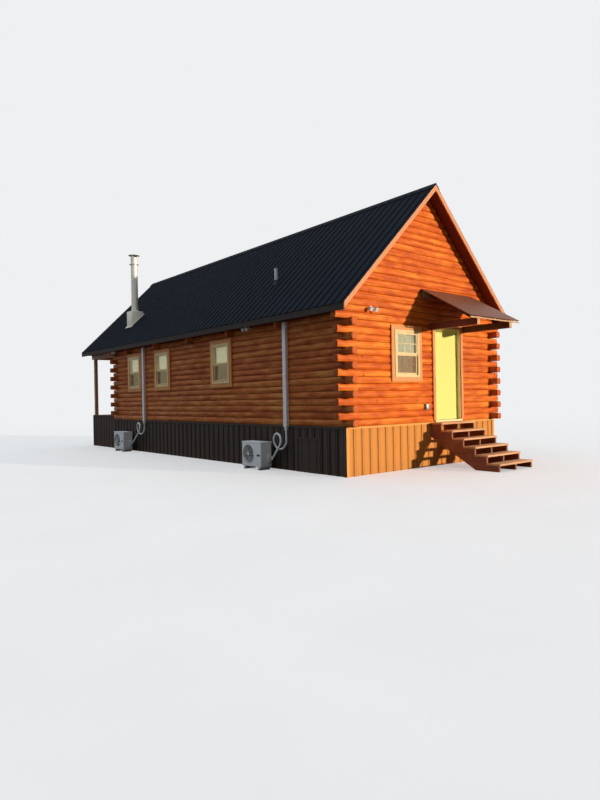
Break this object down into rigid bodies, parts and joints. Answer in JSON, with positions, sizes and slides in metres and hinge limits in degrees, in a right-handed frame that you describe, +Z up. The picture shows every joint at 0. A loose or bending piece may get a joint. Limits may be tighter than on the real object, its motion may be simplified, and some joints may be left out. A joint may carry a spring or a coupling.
{
  "type": "log cabin",
  "caption": "Log cabin with interlocking corners, steep ribbed metal roof over a porch, skirted raised floor, canopied entry door with steps and outdoor heat pump units.",
  "frame": {"origin": "middle of the foot of the door-end skirt, at ground level, halfway through its thickness", "axes": "+Z up, +Y along the cabin from the door end to the porch, +X to the right seen from the door end"},
  "size_m": [5.7866, 14.911, 6.4598],
  "materials": {
    "logs": "stained, satin",
    "frame_wood": "planed",
    "soffit_wood": "stained",
    "deck_wood": "weathered",
    "stair_wood": "stained",
    "casing_wood": "stained",
    "rake_wood": "painted",
    "concrete": "cast",
    "roof_metal": "satin",
    "skirt_metal": "satin",
    "door_paint": "satin",
    "window_vinyl": "satin",
    "glass": "clear",
    "hardware": "satin",
    "unit_paint": "satin",
    "fan_plastic": "moulded",
    "duct_plastic": "moulded",
    "line_wrap": "taped",
    "light_plastic": "moulded",
    "outlet_metal": "cast",
    "galvanized": "galvanized",
    "vent_rubber": "moulded"
  },
  "bodies": {
    "cabin": {"access_hatch": "skirt_metal", "canopy_frame": "frame_wood", "canopy_roof": "roof_metal", "casings": "casing_wood", "chimney": "galvanized", "door_end_wall_left": "logs", "door_end_wall_right": "logs", "door_end_wall_top": "logs", "door_frame": "door_paint", "door_hinges": "hardware", "eave_fascia": "roof_metal", "eave_soffits": "soffit_wood", "fan_guards": "unit_paint", "flood_lights": "light_plastic", "floor_boards": "frame_wood", "floor_frame": "frame_wood", "foundation_piers": "concrete", "gables": "logs", "left_wall": "logs", "line_ducts": "duct_plastic", "outdoor_units": "unit_paint", "outlet_cover": "outlet_metal", "porch_deck": "deck_wood", "porch_door": "door_paint", "porch_end_wall": "logs", "porch_frame": "logs", "porch_kerb": "deck_wood", "porch_skirt": "skirt_metal", "rake_boards": "rake_wood", "refrigerant_lines": "line_wrap", "ridge_cap": "roof_metal", "right_wall": "logs", "roof_deck": "frame_wood", "roof_frame": "frame_wood", "roof_sheets": "roof_metal", "skirt_door_end": "skirt_metal", "skirt_left": "skirt_metal", "skirt_right": "skirt_metal", "skirt_trim": "skirt_metal", "stair_stringers": "stair_wood", "stair_treads": "stair_wood", "tie_beams": "logs", "vent_pipe": "vent_rubber", "window_frames": "window_vinyl", "window_glass": "glass"},
    "entry_door_leaf": {"entry_door": "door_paint", "door_knobs": "hardware"},
    "near_fan": {"fan_near": "fan_plastic"},
    "far_fan": {"fan_far": "fan_plastic"}
  },
  "joints": [
    {"name": "entry_door_hinge", "type": "hinge", "parent": "cabin", "child": "entry_door_leaf", "pos_m": [1.1505, 0.11152, 1.008], "axis": [0, 0, -1], "range_deg": [0, 100]},
    {"name": "near_fan_spin", "type": "hinge", "parent": "cabin", "child": "near_fan", "pos_m": [-2.96, 2.635, 0.3375], "axis": [1, 0, 0], "continuous": true},
    {"name": "far_fan_spin", "type": "hinge", "parent": "cabin", "child": "far_fan", "pos_m": [-2.96, 9.79, 0.3375], "axis": [1, 0, 0], "continuous": true}
  ]
}
